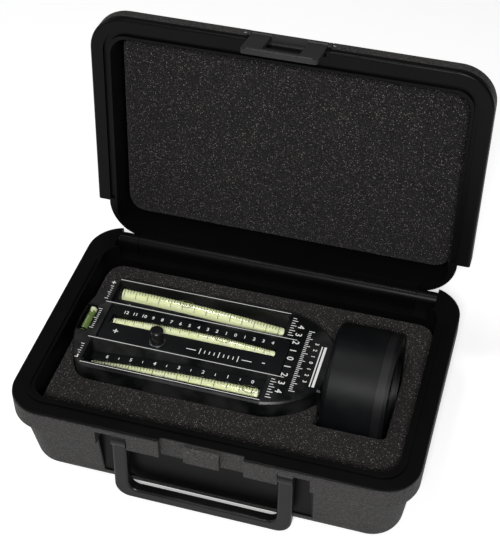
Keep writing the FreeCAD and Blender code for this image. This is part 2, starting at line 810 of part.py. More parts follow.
def make_knob():
    ax, ay = adjuster_x, gauge_y + adjuster_v
    z0 = knob_base_z()
    knob = rod(ax, ay, z0, Z_AXIS, knob_r, knob_h)
    knob = round_level(knob, z0 + knob_h, knob_dome_r)
    for i in range(knob_flutes):
        turn = 2 * math.pi * i / knob_flutes
        fx = ax + knob_r * math.cos(turn)
        fy = ay + knob_r * math.sin(turn)
        knob = knob.cut(rod(fx, fy, z0 + 1.2, Z_AXIS, flute_r, knob_h - 1.2 - knob_dome_r))
    return knob.cut(rod(ax, ay, z0 - 1, Z_AXIS, screw_r + seat_clearance, knob_h / 2 + 1))


def make_adjuster_screw():
    ax, ay = adjuster_x, gauge_y + adjuster_v
    tip = face_z - screw_tip_drop
    screw = rod(ax, ay, tip, Z_AXIS, screw_r, knob_base_z() + knob_h / 2 - tip)
    return screw.makeChamfer(0.6, edges_at(screw, tip))


def make_adjuster_washer():
    ax, ay = adjuster_x, gauge_y + adjuster_v
    z0 = carrier_z + gap
    ring = rod(ax, ay, z0, Z_AXIS, washer_r, washer_t)
    ring = round_level(ring, z0 + washer_t, 0.25)
    return ring.cut(rod(ax, ay, z0 - 1, Z_AXIS, screw_r + 2 * pin_clearance, washer_t + 2))


def make_adjuster_insert():
    ax, ay = adjuster_x, gauge_y + adjuster_v
    z0 = body_z + cover_recess + insert_floor
    insert = rod(ax, ay, z0, Z_AXIS, insert_r, well_z + insert_proud - z0)
    return insert.cut(rod(ax, ay, z0 - 1, Z_AXIS, screw_r + 2 * pin_clearance, body_t))


def make_adjuster_spring():
    """Open coil from the well floor to the carrier, one unbroken wire of quarter-turn arcs."""
    ax, ay = adjuster_x, gauge_y + adjuster_v
    z0 = well_z + gap + spring_wire_r
    z1 = carrier_z - carrier_plate_t - gap - spring_wire_r
    rise = (z1 - z0) / spring_turns

    def at(turns):
        angle = 2 * math.pi * turns
        return V(ax + spring_r * math.cos(angle), ay + spring_r * math.sin(angle), z0 + rise * turns)

    arcs = []
    for i in range(4 * spring_turns):
        arcs.append(Part.Arc(at(i / 4), at((i + 0.5) / 4), at((i + 1) / 4)).toShape())
    path = Part.Wire(arcs)
    ring = Part.makeCircle(spring_wire_r, at(0), V(0, 2 * math.pi * spring_r, rise))
    return path.makePipeShell([Part.Wire([ring])], True, True)


# Magnetic adapter

def adapter_ring(x0, x1, outer, inner):
    ring = rod(x0, gauge_y, axis_z, X_AXIS, outer, x1 - x0)
    return ring.cut(rod(x0 - 1, gauge_y, axis_z, X_AXIS, inner, x1 - x0 + 2))


def face_screw_places():
    places = []
    for i in range(face_screws):
        turn = math.radians(45 + 360 * i / face_screws)
        places.append((gauge_y + face_screw_circle * math.cos(turn),
                       axis_z + face_screw_circle * math.sin(turn)))
    return places


def make_adapter_cup():
    cup = rod(adapter_left, gauge_y, axis_z, X_AXIS, adapter_r, cup_length)
    near = [e for e in cup.Edges if len(e.Vertexes) == 1 and e.BoundBox.XMax < adapter_left + 0.1]
    cup = cup.makeFillet(cup_round, near)
    cup = cup.cut(rod(adapter_left + cup_floor, gauge_y, axis_z, X_AXIS, cup_bore_r, cup_length))
    cup = cup.cut(rod(adapter_left - 1, gauge_y, axis_z, X_AXIS, stud_r + stud_clearance, cup_floor + 2))
    tip = adapter_right - face_screw_len - gap
    for y, z in face_screw_places():
        cup = cup.cut(rod(tip, y, z, X_AXIS, m3_r + seat_clearance, face_screw_len))
    return cup


def make_magnet_ring():
    ring = adapter_ring(cup_end, magnet_end, adapter_r - magnet_inset, magnet_inner_r)
    for y, z in face_screw_places():
        ring = ring.cut(rod(cup_end - 1, y, z, X_AXIS, m3_r + pin_clearance, magnet_t + 2))
    return ring


def make_pole_ring():
    ring = adapter_ring(magnet_end, adapter_right, adapter_r, magnet_inner_r)
    for y, z in face_screw_places():
        start = V(adapter_right - m3_head_h, y, z)
        ring = ring.cut(Part.makeCone(m3_r + pin_clearance, m3_head_r + pin_clearance, m3_head_h,
                                      start, X_AXIS))
        ring = ring.cut(rod(magnet_end - 1, y, z, X_AXIS, m3_r + pin_clearance, pole_t + 2))
    return ring


def make_face_screws():
    screws = []
    for y, z in face_screw_places():
        head = Part.makeCone(m3_r, m3_head_r, m3_head_h, V(adapter_right - m3_head_h, y, z), X_AXIS)
        shank = rod(adapter_right - face_screw_len, y, z, X_AXIS, m3_r, face_screw_len)
        screws.append(head.fuse(shank).removeSplitter())
    return Part.makeCompound(screws)


def stud_washer_x():
    return adapter_left + cup_floor + gap


def make_adapter_stud():
    x0 = body_end - stud_grip
    x1 = stud_washer_x() + stud_washer_t + nut_h + stud_beyond_nut
    stud = rod(x0, gauge_y, axis_z, X_AXIS, stud_r, x1 - x0)
    return stud.makeChamfer(0.8, [e for e in stud.Edges if len(e.Vertexes) == 1])


def make_neck_collar():
    ring = adapter_ring(body_end, adapter_left - gap, collar_r, stud_r + stud_clearance)
    far = [e for e in ring.Edges if len(e.Vertexes) == 1 and e.BoundBox.YLength > 2 * stud_r + 2
           and e.BoundBox.XMin > adapter_left - gap - 0.1]
    return ring.makeChamfer(0.4, far)


def make_stud_washer():
    x0 = stud_washer_x()
    return adapter_ring(x0, x0 + stud_washer_t, stud_washer_r, stud_r + stud_clearance)


def make_stud_nut():
    x0 = stud_washer_x() + stud_washer_t
    corner_r = nut_flats / math.sqrt(3)
    corners = []
    for i in range(6):
        turn = math.radians(60 * i)
        corners.append(V(x0, gauge_y + corner_r * math.cos(turn), axis_z + corner_r * math.sin(turn)))
    nut = Part.Face(Part.makePolygon(corners + corners[:1])).extrude(V(nut_h, 0, 0))
    trim = Part.makeCone(corner_r + nut_h, nut_flats / 2, nut_h + corner_r - nut_flats / 2,
                         V(x0, gauge_y, axis_z), X_AXIS)
    nut = nut.common(trim)
    return nut.cut(rod(x0 - 1, gauge_y, axis_z, X_AXIS, stud_r + seat_clearance, nut_h + 2))


def all_nodes():
    rear = camber_vial(1)
    front = camber_vial(-1)
    middle = caster_vial()
    return {
        "base_shell": make_base_shell(),
        "base_foam": make_base_foam(),
        "hinge_pin": make_hinge_pin(),
        "carry_handle": make_handle(),
        "lid_shell": lid_open(make_lid_shell()),
        "lid_foam": lid_open(make_lid_foam()),
        "latch_pin": lid_open(make_latch_pin()),
        "latch_plate": lid_open(make_latch_plate()),
        "gauge_body": make_gauge_body(),
        "base_cover": make_base_cover(),
        "cover_screws": make_cover_screws(),
        "bed_screws": make_bed_screws(),
        "camber_bed_rear": make_camber_bed(1),
        "camber_bed_front": make_camber_bed(-1),
        "camber_tube_rear": rear.tube(),
        "camber_tube_front": front.tube(),
        "camber_fluid_rear": rear.fluid(rear_bubble_x, rear_bubble_len),
        "camber_fluid_front": front.fluid(front_bubble_x, front_bubble_len),
        "camber_plugs": Part.makeCompound([rear.plug(), front.plug()]),
        "end_vial_tube": make_end_tube(),
        "end_vial_fluid": make_end_fluid(),
        "end_vial_plug": make_end_plug(),
        "end_vial_holder": make_end_holder(),
        "caster_carrier": make_caster_carrier(),
        "caster_tube": middle.tube(),
        "caster_fluid": middle.fluid(caster_bubble_x, caster_bubble_len),
        "caster_plug": middle.plug(),
        "carrier_pin": make_carrier_pin(),
        "adjuster_knob": make_knob(),
        "adjuster_screw": make_adjuster_screw(),
        "adjuster_washer": make_adjuster_washer(),
        "adjuster_insert": make_adjuster_insert(),
        "adjuster_spring": make_adjuster_spring(),
        "adapter_cup": make_adapter_cup(),
        "magnet_ring": make_magnet_ring(),
        "pole_ring": make_pole_ring(),
        "face_screws": make_face_screws(),
        "adapter_stud": make_adapter_stud(),
        "neck_collar": make_neck_collar(),
        "stud_washer": make_stud_washer(),
        "stud_nut": make_stud_nut(),
    }


def main():
    os.makedirs("parts", exist_ok=True)
    for name, shape in all_nodes().items():
        print(name, "solids", len(shape.Solids), "volume", round(shape.Volume, 1), "valid", shape.isValid())
        shape.exportStep("parts/" + name + ".step")


main()
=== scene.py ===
import bpy
import functools
import math
from mathutils import Matrix, Vector, noise


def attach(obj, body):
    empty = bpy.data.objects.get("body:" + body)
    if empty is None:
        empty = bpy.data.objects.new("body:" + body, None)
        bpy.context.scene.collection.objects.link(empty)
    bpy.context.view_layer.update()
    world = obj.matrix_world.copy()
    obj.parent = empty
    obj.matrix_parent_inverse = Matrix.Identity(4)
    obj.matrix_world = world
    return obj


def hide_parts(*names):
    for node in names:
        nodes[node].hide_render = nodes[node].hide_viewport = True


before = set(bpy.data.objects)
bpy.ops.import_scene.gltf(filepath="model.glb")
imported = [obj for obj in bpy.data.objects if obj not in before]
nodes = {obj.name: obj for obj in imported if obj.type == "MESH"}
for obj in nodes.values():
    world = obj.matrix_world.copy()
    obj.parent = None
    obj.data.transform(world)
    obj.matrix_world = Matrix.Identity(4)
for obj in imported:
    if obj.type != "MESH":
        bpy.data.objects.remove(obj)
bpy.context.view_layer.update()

# Places and sizes of the part in millimetres, at rest unless a name says closed
MM = 0.001
FACE = 51.0
FOAM = 41.5
GAUGE_Y = 4.0
HINGE = (73.4, 52.2)
LID_OPEN = math.radians(-96.0)
AXIS_Z = 40.0
BODY_LEFT = -103.0
BODY_SIDE_LEFT = -90.0
BODY_HALF_W = 37.5
BODY_CORNER = 5.0
BODY_LOW = 27.0
BODY_END = 51.5
NECK_X = 49.0
NECK_HALF = 20.0
SHOULDER_X = 20.0
SHOULDER_MID = (38.0, 30.5)
WELL_LEFT = -89.5
WELL_RIGHT = 19.5
ADAPTER_R = 35.0
ADAPTER_RIGHT = 90.5
CARRIER_DROP = 1.0
CAMBER_V = 28.0
CASTER_V = 3.5
FOAM_HALF_L = 105.2
FOAM_FRONT = -67.2
FOAM_BACK = 62.4
FOAM_CORNER = 11.7
FOAM_LOW = 3.3
LID_FOAM_LOW = 75.5
LID_FOAM_TOP = 80.7
LATCH_PIVOT_CLOSED = (-79.1, 65.0)
LATCH_BARREL_R = 2.2


# Camera

def make_camera():
    data = bpy.data.cameras.new("camera")
    data.sensor_width = 36.0
    data.sensor_fit = "VERTICAL"
    data.sensor_height = 36.0
    data.lens = 86.10
    data.clip_start = 0.01
    camera = bpy.data.objects.new("camera", data)
    camera.location = (0.153254, -0.497069, 0.621033)
    turn = Matrix((
        (0.960373, -0.189549, 0.204340),
        (0.278633, 0.670996, -0.687116),
        (-0.006869, 0.716824, 0.697221),
    ))
    camera.rotation_euler = turn.to_euler()
    bpy.context.scene.collection.objects.link(camera)
    bpy.context.scene.camera = camera


# Mesh helpers

def link(name, mesh):
    piece = bpy.data.objects.new(name, mesh)
    bpy.context.scene.collection.objects.link(piece)
    return piece


def piece_from(name, verts, faces, material, body, smooth=False):
    """A mesh piece from points in millimetres, riding on a body."""
    mesh = bpy.data.meshes.new(name)
    mesh.from_pydata([[c * MM for c in v] for v in verts], [], faces)
    mesh.update()
    if smooth:
        mesh.shade_smooth()
    piece = link(name, mesh)
    mesh.materials.append(material)
    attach(piece, body)
    return piece


class Ribbons:
    """Collects thin raised strips, dots and figures that share one material."""

    def __init__(self):
        self.verts = []
        self.faces = []

    def prism(self, loop, low, high):
        """A closed slab from a loop of (x, y) points between two heights."""
        n = len(loop)
        k = len(self.verts)
        self.verts += [(x, y, low) for x, y in loop]
        self.verts += [(x, y, high) for x, y in loop]
        self.faces.append([k + i for i in reversed(range(n))])
        self.faces.append([k + n + i for i in range(n)])
        for i in range(n):
            j = (i + 1) % n
            self.faces.append([k + i, k + j, k + n + j, k + n + i])

    def line(self, a, b, width, low, high):
        dx, dy = b[0] - a[0], b[1] - a[1]
        length = math.hypot(dx, dy)
        nx, ny = -dy / length * width / 2, dx / length * width / 2
        near = [(a[0] + nx, a[1] + ny), (a[0] - nx, a[1] - ny)]
        far = [(b[0] - nx, b[1] - ny), (b[0] + nx, b[1] + ny)]
        self.prism(near + far, low, high)

    def mapped(self, place):
        self.verts = [place(*v) for v in self.verts]
        return self


def text_mesh(body, size):
    """Points and faces of a line of figures, centred, in its own plane."""
    data = bpy.data.curves.new("figures", "FONT")
    data.body = body
    data.size = size
    data.align_x = "CENTER"
    data.align_y = "CENTER"
    data.extrude = 0.04
    data.offset = 0.05
    data.resolution_u = 3
    holder = bpy.data.objects.new("figures", data)
    bpy.context.scene.collection.objects.link(holder)
    bpy.context.view_layer.update()
    mesh = bpy.data.meshes.new_from_object(holder.evaluated_get(bpy.context.evaluated_depsgraph_get()))
    verts = [tuple(v.co) for v in mesh.vertices]
    faces = [list(p.vertices) for p in mesh.polygons]
    bpy.data.objects.remove(holder)
    bpy.data.curves.remove(data)
    bpy.data.meshes.remove(mesh)
    return verts, faces


def add_text(ribbons, body, size, place):
    """place(x, y, z) maps the figures' own plane to the model."""
    verts, faces = text_mesh(body, size)
    k = len(ribbons.verts)
    ribbons.verts += [place(*v) for v in verts]
    ribbons.faces += [[k + i for i in f] for f in faces]


def evaluated_copy(piece):
    return bpy.data.meshes.new_from_object(piece.evaluated_get(bpy.context.evaluated_depsgraph_get()))


def lid_place(point):
    """Closed-lid millimetres to the open lid."""
    x, y, z = point
    c, s = math.cos(LID_OPEN), math.sin(LID_OPEN)
    dy, dz = y - HINGE[0], z - HINGE[1]
    return x, HINGE[0] + dy * c - dz * s, HINGE[1] + dy * s + dz * c


# Materials

class Shader:
    """A Principled material with short calls for its procedural nodes."""

    def __init__(self, name, color, roughness, metallic=0.0, specular=0.5):
        self.material = bpy.data.materials.new(name)
        self.material.use_nodes = True
        self.tree = self.material.node_tree
        self.out = self.tree.nodes["Material Output"]
        self.bsdf = self.tree.nodes["Principled BSDF"]
        self.bsdf.inputs["Base Color"].default_value = (*color, 1)
        self.bsdf.inputs["Roughness"].default_value = roughness
        self.bsdf.inputs["Metallic"].default_value = metallic
        self.bsdf.inputs["Specular IOR Level"].default_value = specular
        self.coords = self.tree.nodes.new("ShaderNodeTexCoord")
        self.color = color
        self.roughness = roughness

    def node(self, kind, **settings):
        made = self.tree.nodes.new(kind)
        for key, value in settings.items():
            setattr(made, key, value)
        return made

    def join(self, a, b):
        self.tree.links.new(a, b)

    def noise(self, scale, detail=2.0, rough=0.5, stretch=(1, 1, 1)):
        made = self.node("ShaderNodeTexNoise")
        made.inputs["Scale"].default_value = scale
        made.inputs["Detail"].default_value = detail
        made.inputs["Roughness"].default_value = rough
        mapping = self.node("ShaderNodeMapping")
        mapping.inputs["Scale"].default_value = stretch
        self.join(self.coords.outputs["Object"], mapping.inputs["Vector"])
        self.join(mapping.outputs["Vector"], made.inputs["Vector"])
        return made.outputs["Fac"]

    def cells(self, scale, feature="F1", randomness=1.0):
        made = self.node("ShaderNodeTexVoronoi", feature=feature)
        made.inputs["Scale"].default_value = scale
        made.inputs["Randomness"].default_value = randomness
        self.join(self.coords.outputs["Object"], made.inputs["Vector"])
        return made

    def span(self, value, low, high, to_low=0.0, to_high=1.0, smooth=False):
        made = self.node("ShaderNodeMapRange", interpolation_type="SMOOTHSTEP" if smooth else "LINEAR")
        for key, number in (("From Min", low), ("From Max", high), ("To Min", to_low), ("To Max", to_high)):
            made.inputs[key].default_value = number
        self.join(value, made.inputs["Value"])
        return made.outputs["Result"]

    def above(self, value, limit, ramp, smooth=False):
        """0 up to the limit in millimetres and 1 from a ramp further on."""
        return self.span(value, limit * MM, (limit + ramp) * MM, smooth=smooth)

    def below(self, value, limit, ramp, smooth=False):
        """1 up to the limit in millimetres and 0 from a ramp further on."""
        return self.span(value, (limit + ramp) * MM, limit * MM, smooth=smooth)

    def every(self, *masks):
        return functools.reduce(lambda a, b: self.math("MULTIPLY", a, b), masks)

    def either(self, *masks):
        return functools.reduce(lambda a, b: self.math("MAXIMUM", a, b), masks)

    def size_of(self, value):
        return self.math("ABSOLUTE", value, 0.0)

    def place(self):
        """The point's X, Y and Z in metres."""
        split = self.node("ShaderNodeSeparateXYZ")
        self.join(self.coords.outputs["Object"], split.inputs[0])
        return split.outputs["X"], split.outputs["Y"], split.outputs["Z"]

    def math(self, kind, a, b):
        made = self.node("ShaderNodeMath", operation=kind)
        for i, value in enumerate((a, b)):
            if isinstance(value, (int, float)):
                made.inputs[i].default_value = value
            else:
                self.join(value, made.inputs[i])
        return made.outputs[0]

    def blend_color(self, factor, a, b):
        made = self.node("ShaderNodeMix", data_type="RGBA")
        self.join(factor, made.inputs["Factor"])
        for key, value in ((6, a), (7, b)):
            if isinstance(value, tuple):
                made.inputs[key].default_value = (*value, 1)
            else:
                self.join(value, made.inputs[key])
        return made.outputs[2]

    def set_color(self, output):
        self.join(output, self.bsdf.inputs["Base Color"])

    def set_roughness(self, output):
        self.join(output, self.bsdf.inputs["Roughness"])

    def bump(self, heights, distance, strength=1.0):
        """heights: outputs from coarse to fine, each with its own depth in metres."""
        previous = None
        for height, depth in zip(heights, distance):
            made = self.node("ShaderNodeBump")
            made.inputs["Strength"].default_value = strength
            made.inputs["Distance"].default_value = depth
            self.join(height, made.inputs["Height"])
            if previous is not None:
                self.join(previous, made.inputs["Normal"])
            previous = made.outputs["Normal"]
        self.join(previous, self.bsdf.inputs["Normal"])

    def closed_lid(self):
        """Height and depth in the closed lid, from the open lid's place."""
        _, y, z = self.place()
        s, c = math.sin(-LID_OPEN), math.cos(-LID_OPEN)
        dy = self.math("SUBTRACT", y, HINGE[0] * MM)
        dz = self.math("SUBTRACT", z, HINGE[1] * MM)
        height = self.math("ADD", self.math("MULTIPLY", dy, s), self.math("MULTIPLY", dz, c))
        depth = self.math("SUBTRACT", self.math("MULTIPLY", dy, c), self.math("MULTIPLY", dz, s))
        return (self.math("ADD", height, HINGE[1] * MM), self.math("ADD", depth, HINGE[0] * MM))


def case_material(name, smooth_mask):
    """Blow-moulded skin: leathery grain outside, smooth where the mask is 1."""
    s = Shader(name, (0.022, 0.022, 0.024), 0.5, specular=0.26)
    mask = smooth_mask(s)
    grain = s.noise(900, 3.0, 0.6)
    pits = s.cells(1300).outputs["Distance"]
    rough_side = s.math("SUBTRACT", 1.0, mask)
    tone = s.noise(35, 3.0)
    patch = s.span(tone, 0.35, 0.7)
    light = s.blend_color(patch, (0.020, 0.019, 0.019), (0.029, 0.0275, 0.027))
    speck = s.span(grain, 0.42, 0.72)
    grained = s.blend_color(speck, light, (0.075, 0.071, 0.069))
    s.set_color(s.blend_color(mask, grained, (0.0025, 0.0025, 0.0028)))
    s.set_roughness(s.math("ADD", s.math("MULTIPLY", mask, -0.22), s.span(tone, 0.3, 0.7, 0.52, 0.62)))
    s.join(s.span(mask, 0.0, 1.0, 0.26, 0.12), s.bsdf.inputs["Specular IOR Level"])
    reliefs = [s.math("MULTIPLY", height, rough_side) for height in (pits, grain)]
    s.bump(reliefs, [0.00022, 0.00030])
    return s.material


HOLLOW_HALF_L = 106.6
HOLLOW_DIAGONAL = 167.5


def base_smooth(s):
    """Smooth at the rim, in the hollow, on the hinge's ledge and in the handle's recess."""
    x, y, z = s.place()
    x = s.size_of(x)
    diagonal = s.math("ADD", x, s.size_of(y))
    top = s.above(z, 55.6, 1.2, smooth=True)
    hollow = s.every(s.below(x, HOLLOW_HALF_L, 0.2), s.above(y, -69.0, 0.2),
                     s.below(diagonal, HOLLOW_DIAGONAL, 0.5), s.below(y, 63.8, 0.2))
    ledge = s.every(s.above(z, 44.0, 0.5), s.below(y, 79.0, 0.2), s.above(y, 62.0, 0.2),
                    s.below(x, 103.0, 0.5))
    recess = s.every(s.below(x, 62.0, 0.4), s.below(z, 41.9, 0.6), s.above(z, 9.0, 0.5),
                     s.below(y, -70.2, 0.2))
    return s.either(top, hollow, ledge, recess)


def lid_smooth(s):
    """Smooth on the flange by the seam and in the hollow behind it."""
    x = s.size_of(s.place()[0])
    height, depth = s.closed_lid()
    across = s.size_of(depth)
    flange = s.below(height, 60.8, 1.0, smooth=True)
    hollow = s.every(s.below(x, HOLLOW_HALF_L, 0.2), s.below(height, 81.0, 0.2),
                     s.below(across, 68.6, 0.2), s.below(s.math("ADD", x, across), HOLLOW_DIAGONAL, 0.5))
    return s.either(flange, hollow)


def foam_material(name, base, brown):
    s = Shader(name, base, 0.95, specular=0.06)
    cells = s.cells(1150)
    pores = cells.outputs["Distance"]
    fine = s.noise(2200, 4.0, 0.7)
    mottled = s.blend_color(s.span(s.noise(60, 4.0), 0.35, 0.65), base, brown)
    open_cells = s.blend_color(s.span(pores, 0.25, 0.6), mottled, tuple(c * 0.35 for c in base))
    ribs = s.blend_color(s.span(fine, 0.52, 0.72), open_cells, tuple(min(1, c * 2.4) for c in brown))
    dots = s.cells(1050)
    near = s.span(dots.outputs["Distance"], 0.38, 0.18)
    pick = s.node("ShaderNodeSeparateColor")
    s.join(dots.outputs["Color"], pick.inputs[0])
    few = s.span(pick.outputs[0], 0.40, 0.98)
    spark = s.math("MULTIPLY", near, few)
    s.set_color(s.blend_color(spark, ribs, (0.26, 0.225, 0.21)))
    s.set_roughness(s.span(fine, 0.3, 0.7, 0.82, 1.0))
    s.bump([pores, fine], [-0.0005, 0.00035])
    s.bsdf.inputs["Sheen Weight"].default_value = 0.08
    s.bsdf.inputs["Sheen Roughness"].default_value = 0.6
    return s.material


def satin_material(name, color, roughness, grain=1400.0, depth=0.00003, specular=0.5, wear=None):
    """Paint or moulding with a faint orange peel and slightly uneven gloss."""
    s = Shader(name, color, roughness, specular=specular)
    fine = s.noise(grain, 2.0)
    broad = s.noise(45, 3.0)
    dusted = s.blend_color(s.span(broad, 0.45, 0.75), color, tuple(c * 1.25 + 0.002 for c in color))
    if wear:
        edge = s.node("ShaderNodeNewGeometry")
        rubbed = s.math("MULTIPLY", s.span(edge.outputs["Pointiness"], 0.53, 0.60), s.span(broad, 0.4, 0.6))
        dusted = s.blend_color(rubbed, dusted, wear)
    s.set_color(dusted)
    s.set_roughness(s.span(broad, 0.3, 0.7, roughness - 0.05, roughness + 0.07))
    s.bump([fine], [depth])
    return s.material


def turned_metal(name, color, roughness, metallic=1.0, stretch=(1, 25, 25)):
    """Metal with fine tool marks across the given stretch."""
    s = Shader(name, color, roughness, metallic=metallic)
    marks = s.noise(700, 3.0, 0.6, stretch)
    stain = s.noise(120, 3.0)
    s.set_color(s.blend_color(s.span(stain, 0.35, 0.75), color, tuple(c * 0.78 for c in color)))
    s.set_roughness(s.span(marks, 0.3, 0.7, max(0.05, roughness - 0.08), roughness + 0.12))
    s.bump([marks], [0.00002])
    return s.material


def clear_material(name):
    s = Shader(name, (0.97, 0.99, 0.95), 0.02)
    s.bsdf.inputs["Transmission Weight"].default_value = 1.0
    s.bsdf.inputs["IOR"].default_value = 1.47
    haze = s.noise(500, 2.0)
    s.set_roughness(s.span(haze, 0.35, 0.7, 0.01, 0.05))
    through = s.node("ShaderNodeBsdfTransparent")
    through.inputs["Color"].default_value = (0.96, 0.98, 0.93, 1)
    path = s.node("ShaderNodeLightPath")
    mix = s.node("ShaderNodeMixShader")
    dark = s.math("MAXIMUM", path.outputs["Is Shadow Ray"], path.outputs["Is Diffuse Ray"])
    s.join(dark, mix.inputs["Fac"])
    s.join(s.bsdf.outputs[0], mix.inputs[1])
    s.join(through.outputs[0], mix.inputs[2])
    s.join(mix.outputs[0], s.out.inputs["Surface"])
    return s.material


def fluid_material(name, color, deep):
    """Cloudy bright spirit: mostly scatters light, a little deeper in places."""
    s = Shader(name, color, 0.12)
    drift = s.noise(80, 2.0)
    s.set_color(s.blend_color(s.span(drift, 0.3, 0.75), color, deep))
    s.set_roughness(s.span(s.noise(400, 2.0), 0.3, 0.7, 0.08, 0.18))
    s.bsdf.inputs["Transmission Weight"].default_value = 0.12
    s.bsdf.inputs["IOR"].default_value = 1.36
    s.bsdf.inputs["Subsurface Weight"].default_value = 0.25
    s.bsdf.inputs["Subsurface Radius"].default_value = (0.003, 0.003, 0.001)
    s.bsdf.inputs["Subsurface Scale"].default_value = 1.0
    return s.material


def print_material(name, color):
    """Screen-printed white, a little thin in places."""
    s = Shader(name, color, 0.55)
    worn = s.noise(900, 3.0, 0.7)
    s.set_color(s.blend_color(s.span(worn, 0.62, 0.85), color, tuple(c * 0.6 for c in color)))
    s.set_roughness(s.span(worn, 0.3, 0.7, 0.45, 0.6))
    s.bump([worn], [0.00001])
    return s.material


def dress(names, material):
    for name in names.split():
        piece = nodes[name]
        piece.data.materials.clear()
        piece.data.materials.append(material)


def make_materials():
    m = {}
    m["case_base"] = case_material("case_skin_base", base_smooth)
    m["case_lid"] = case_material("case_skin_lid", lid_smooth)
    m["foam_base"] = foam_material("foam_base", (0.0125, 0.0108, 0.0105), (0.022, 0.018, 0.017))
    m["foam_lid"] = foam_material("foam_lid", (0.0115, 0.0108, 0.012), (0.019, 0.017, 0.0175))
    m["handle"] = satin_material("handle_moulding", (0.005, 0.005, 0.0053), 0.30,
                                 depth=0.00001, specular=0.34)
    m["latch"] = satin_material("latch_moulding", (0.020, 0.020, 0.020), 0.45, specular=0.34)
    m["gauge"] = satin_material("gauge_paint", (0.0030, 0.0034, 0.0038), 0.34,
                                specular=0.30, wear=(0.03, 0.03, 0.03))
    m["scale"] = satin_material("scale_plate", (0.0024, 0.0032, 0.0036), 0.42, specular=0.28)
    m["adapter"] = satin_material("adapter_paint", (0.0018, 0.0021, 0.0026), 0.48,
                                  depth=0.00002, specular=0.20)
    m["magnet"] = satin_material("magnet_ferrite", (0.005, 0.005, 0.006), 0.5, specular=0.3)
    m["knob"] = satin_material("knob_moulding", (0.008, 0.008, 0.009), 0.22)
    m["plug"] = satin_material("vial_plug", (0.80, 0.80, 0.58), 0.4)
    m["steel"] = turned_metal("drawn_steel", (0.55, 0.55, 0.56), 0.28, stretch=(1, 25, 25))
    m["zinc"] = turned_metal("zinc_plate", (0.66, 0.66, 0.67), 0.24, stretch=(20, 20, 1))
    m["brass"] = turned_metal("brass", (0.62, 0.45, 0.20), 0.3)
    m["spring"] = turned_metal("spring_wire", (0.40, 0.40, 0.41), 0.35)
    m["tube"] = clear_material("vial_tube")
    m["fluid"] = fluid_material("vial_spirit", (0.97, 0.97, 0.66), (0.93, 0.94, 0.58))
    m["fluid_green"] = fluid_material("vial_spirit_green", (0.22, 0.30, 0.11), (0.17, 0.25, 0.08))
    m["white"] = print_material("print_white", (0.86, 0.86, 0.84))
    m["dark_ink"] = print_material("print_dark", (0.03, 0.035, 0.015))
    # Painted shade: olive-dark colour for the rings drawn round each bubble's edge.
    m["bubble"] = print_material("bubble_edge", (0.22, 0.25, 0.11))
    dress("base_shell", m["case_base"])
    dress("lid_shell", m["case_lid"])
    dress("hinge_pin latch_pin carrier_pin", m["steel"])
    dress("carry_handle", m["handle"])
    dress("latch_plate", m["latch"])
    dress("gauge_body", m["gauge"])
    dress("base_cover camber_bed_rear camber_bed_front end_vial_holder caster_carrier", m["scale"])
    dress("camber_tube_rear camber_tube_front end_vial_tube caster_tube", m["tube"])
    dress("camber_fluid_rear camber_fluid_front caster_fluid", m["fluid"])
    dress("end_vial_fluid", m["fluid_green"])
    dress("camber_plugs end_vial_plug caster_plug", m["plug"])
    dress("cover_screws bed_screws adjuster_screw adjuster_washer face_screws", m["zinc"])
    dress("adapter_stud neck_collar stud_washer stud_nut", m["zinc"])
    dress("adjuster_insert", m["brass"])
    dress("adjuster_spring", m["spring"])
    dress("adjuster_knob", m["knob"])
    dress("adapter_cup pole_ring", m["adapter"])
    dress("magnet_ring", m["magnet"])
    return m


# Foam

def arc_points(a, b, c, count):
    """Points on the circle through three (x, y) points, from a to c."""
    middle = circle_centre(a, b, c)
    r = math.dist(a, middle)
    start, on, stop = (math.atan2(y - middle[1], x - middle[0]) for x, y in (a, b, c))
    full = (stop - start) % (2 * math.pi)
    if (on - start) % (2 * math.pi) > full:
        full -= 2 * math.pi
    turns = [start + full * i / count for i in range(count + 1)]
    return [(middle[0] + r * math.cos(t), middle[1] + r * math.sin(t)) for t in turns]


def circle_centre(a, b, c):
    """Centre of the circle through three points."""
    (ax, ay), (bx, by), (cx, cy) = a, b, c
    a2, b2, c2 = ax * ax + ay * ay, bx * bx + by * by, cx * cx + cy * cy
    d = 2 * (ax * (by - cy) + bx * (cy - ay) + cx * (ay - by))
    x = (a2 * (by - cy) + b2 * (cy - ay) + c2 * (ay - by)) / d
    y = (a2 * (cx - bx) + b2 * (ax - cx) + c2 * (bx - ax)) / d
    return x, y


def rounded_loop(x0, x1, y0, y1, r, count=10):
    corners = ((x1 - r, y0 + r, -90), (x1 - r, y1 - r, 0), (x0 + r, y1 - r, 90), (x0 + r, y0 + r, 180))
    loop = []
    for cx, cy, start in corners:
        for i in range(count + 1):
            t = math.radians(start + 90 * i / count)
            loop.append((cx + r * math.cos(t), cy + r * math.sin(t)))
    return loop


def gauge_loop(grow):
    """The housing's plan, grown by a clearance: arched end, straight sides, shoulders, neck."""
    w = BODY_HALF_W + grow
    n = NECK_HALF + grow
    c = BODY_CORNER
    x_end = BODY_END + grow
    x_arch = BODY_SIDE_LEFT - c * 0.8
    x_side = BODY_SIDE_LEFT + c
    mid_x, mid_half = SHOULDER_MID[0], SHOULDER_MID[1] + grow
    y0 = GAUGE_Y
    loop = arc_points((x_arch, y0 + w - c), (BODY_LEFT - grow, y0), (x_arch, y0 - w + c), 24)
    loop += arc_points((x_arch, y0 - w + c), (BODY_SIDE_LEFT, y0 - w + c * 0.3), (x_side, y0 - w), 6)[1:]
    loop += arc_points((SHOULDER_X, y0 - w), (mid_x, y0 - mid_half), (NECK_X, y0 - n), 16)
    loop += [(x_end, y0 - n), (x_end, y0 + n)]
    loop += arc_points((NECK_X, y0 + n), (mid_x, y0 + mid_half), (SHOULDER_X, y0 + w), 16)
    loop += arc_points((x_side, y0 + w), (BODY_SIDE_LEFT, y0 + w - c * 0.3), (x_arch, y0 + w - c), 6)[:-1]
    return loop


